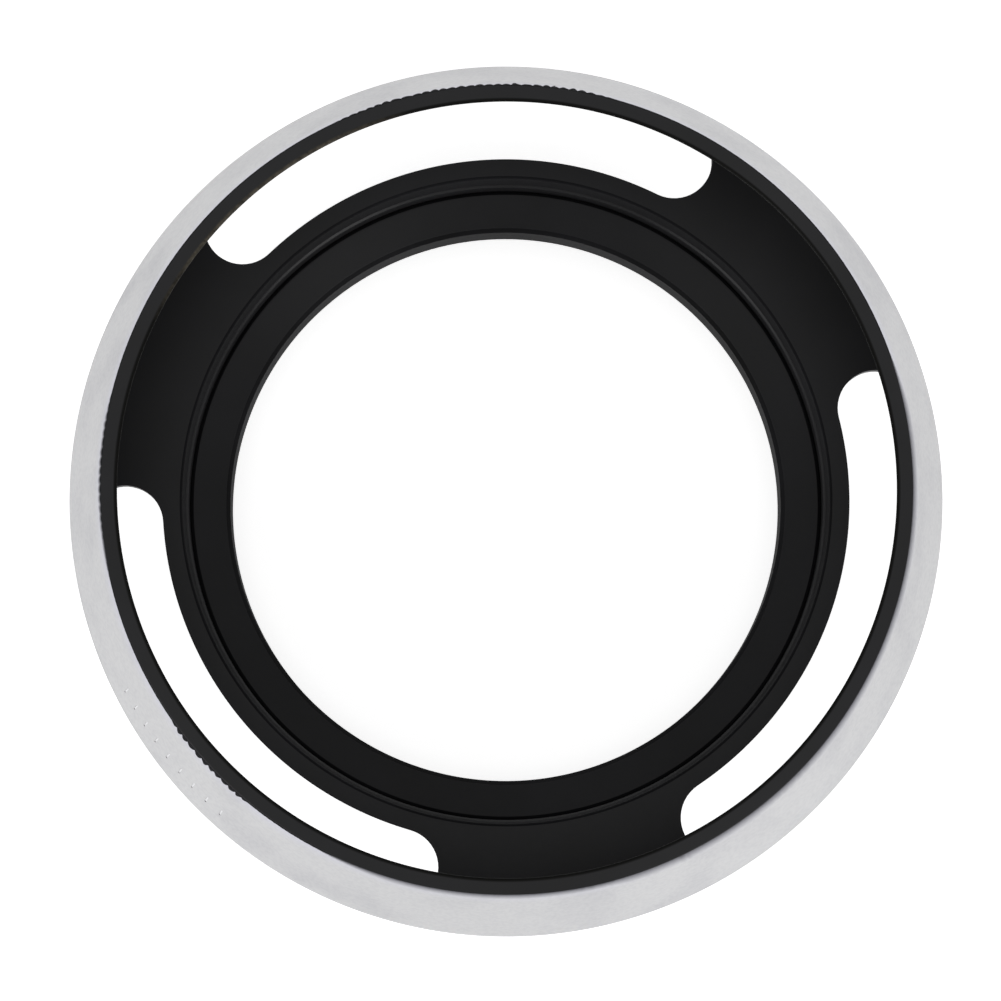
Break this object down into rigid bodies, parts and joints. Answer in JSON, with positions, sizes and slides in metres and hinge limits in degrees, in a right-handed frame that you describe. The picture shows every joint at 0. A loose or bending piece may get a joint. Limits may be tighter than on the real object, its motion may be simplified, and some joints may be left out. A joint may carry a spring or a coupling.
{
  "type": "lens hood",
  "caption": "Round vented screw-in lens hood: flared metal shade with curved windows through its dish and a separate ring with a male filter thread.",
  "frame": {"origin": "centre of the thread end that the hood stands on", "axes": "+Z along the optical axis, out of the front opening; one window is centred on +Y"},
  "size_m": [0.0598, 0.0598, 0.0182],
  "materials": {
    "silver_anodised": "bead-blasted and silver-anodised outside, matt black paint inside",
    "black_anodised": "matt black, bare aluminium at the end of the thread"
  },
  "bodies": {
    "root": {"hood_shell": "silver_anodised", "mount_ring": "black_anodised"}
  },
  "joints": []
}
